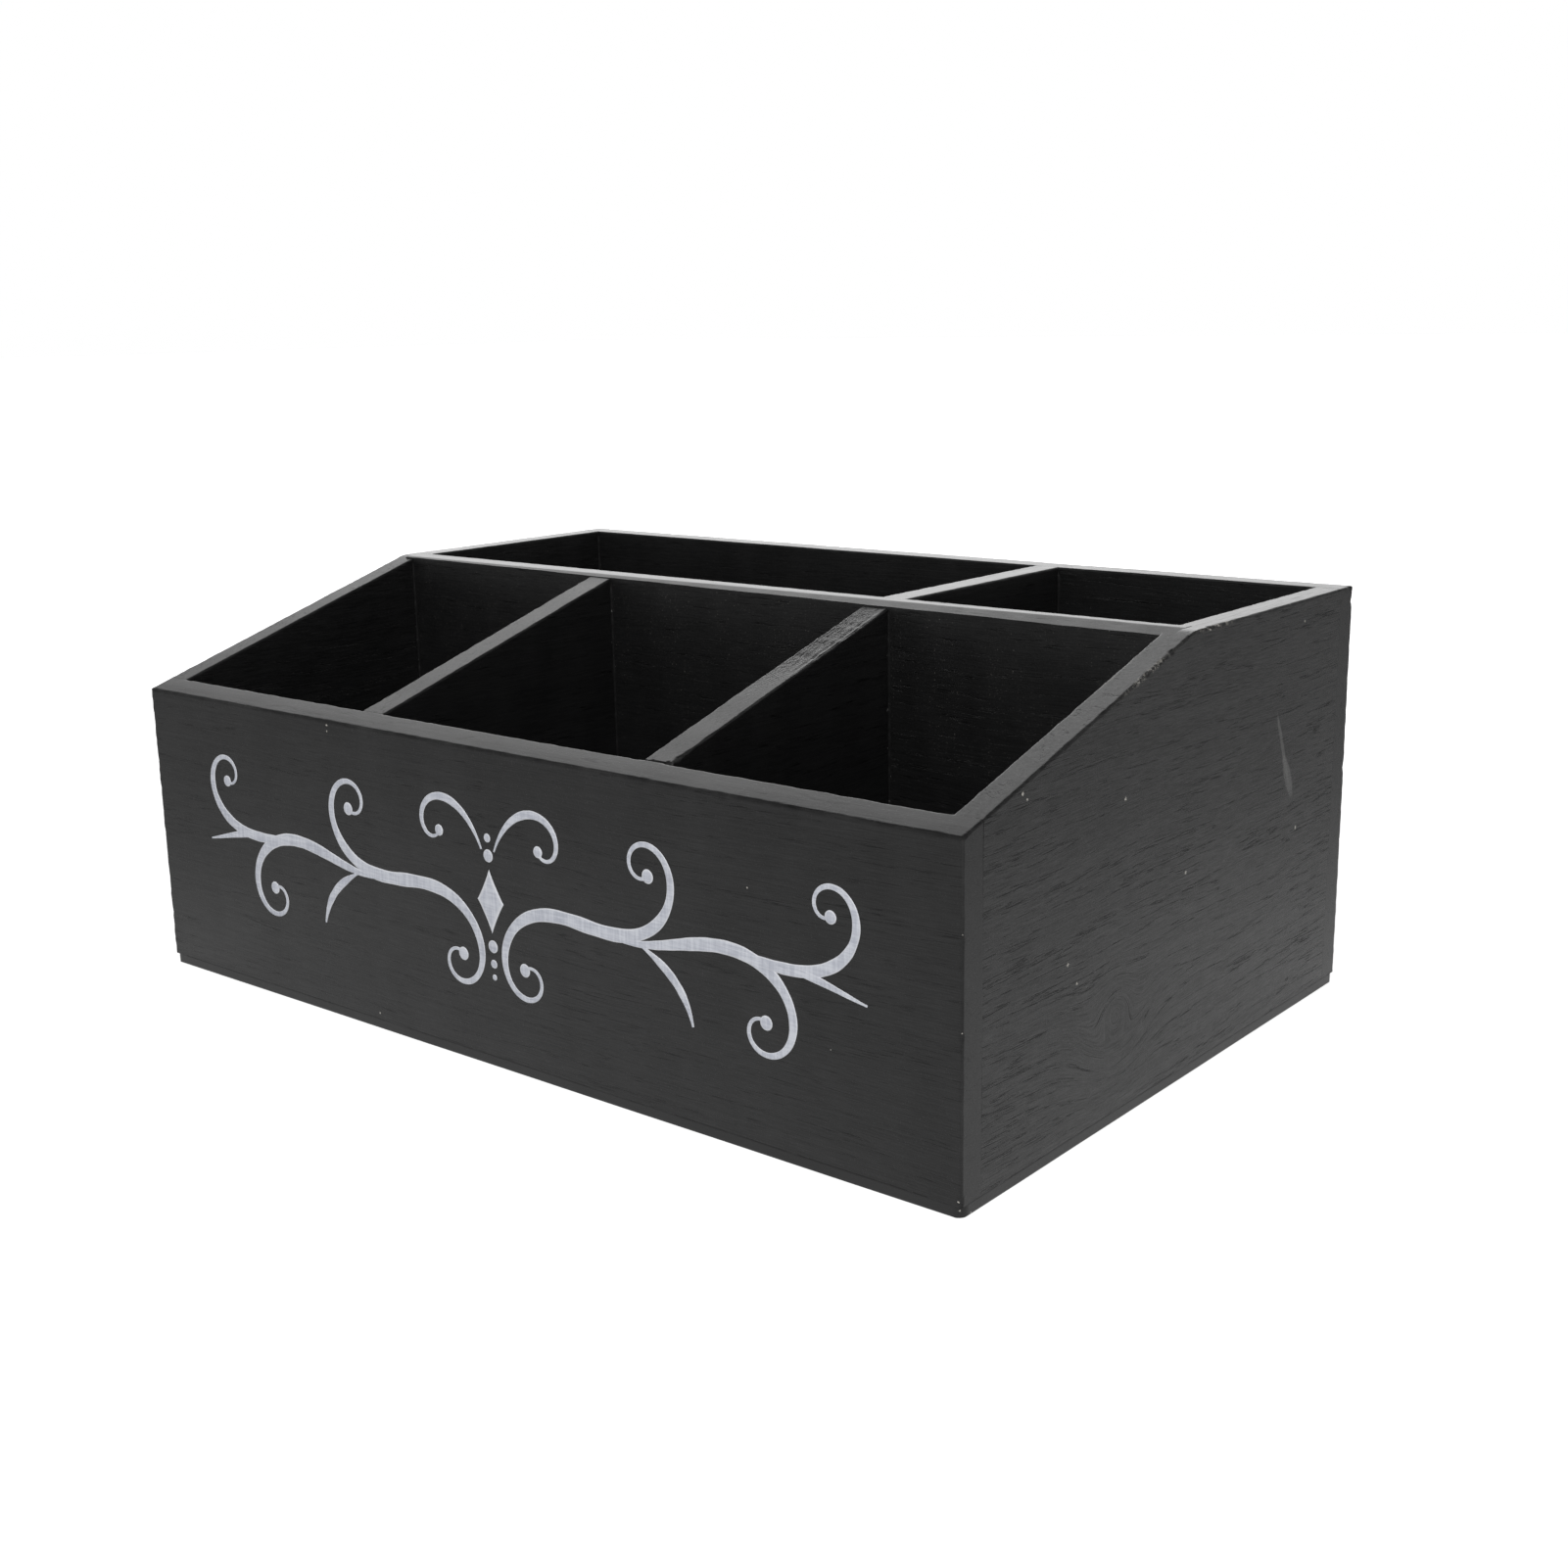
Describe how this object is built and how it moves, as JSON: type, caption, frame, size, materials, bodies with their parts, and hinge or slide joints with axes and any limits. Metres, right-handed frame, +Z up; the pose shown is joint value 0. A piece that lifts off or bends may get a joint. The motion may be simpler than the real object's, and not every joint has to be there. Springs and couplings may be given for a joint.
{
  "type": "coffee station organizer",
  "caption": "Open countertop box of painted boards with a low front, sloping sides and dividers that part it into cells for cups, lids, pods and stirrers.",
  "frame": {"origin": "middle of the underside, on the surface that the box stands on", "axes": "+X to the right seen from the front, +Y from the front to the back, +Z up"},
  "size_m": [0.32, 0.211, 0.1265],
  "materials": {
    "black_painted_board": "satin black paint over softwood, grain showing",
    "black_painted_sheet": "matte black paint on thin sheet",
    "brad_steel": "bright zinc",
    "pale_paint": "brushed matte pale grey paint film"
  },
  "bodies": {
    "root": {"front_panel": "black_painted_board", "back_panel": "black_painted_board", "left_side": "black_painted_board", "right_side": "black_painted_board", "long_divider": "black_painted_board", "rear_divider": "black_painted_board", "left_front_divider": "black_painted_board", "right_front_divider": "black_painted_board", "bottom_sheet": "black_painted_sheet", "front_panel_brads": "brad_steel", "back_panel_brads": "brad_steel", "long_divider_brads": "brad_steel", "front_divider_brads": "brad_steel", "bottom_brads": "brad_steel"}
  },
  "joints": []
}
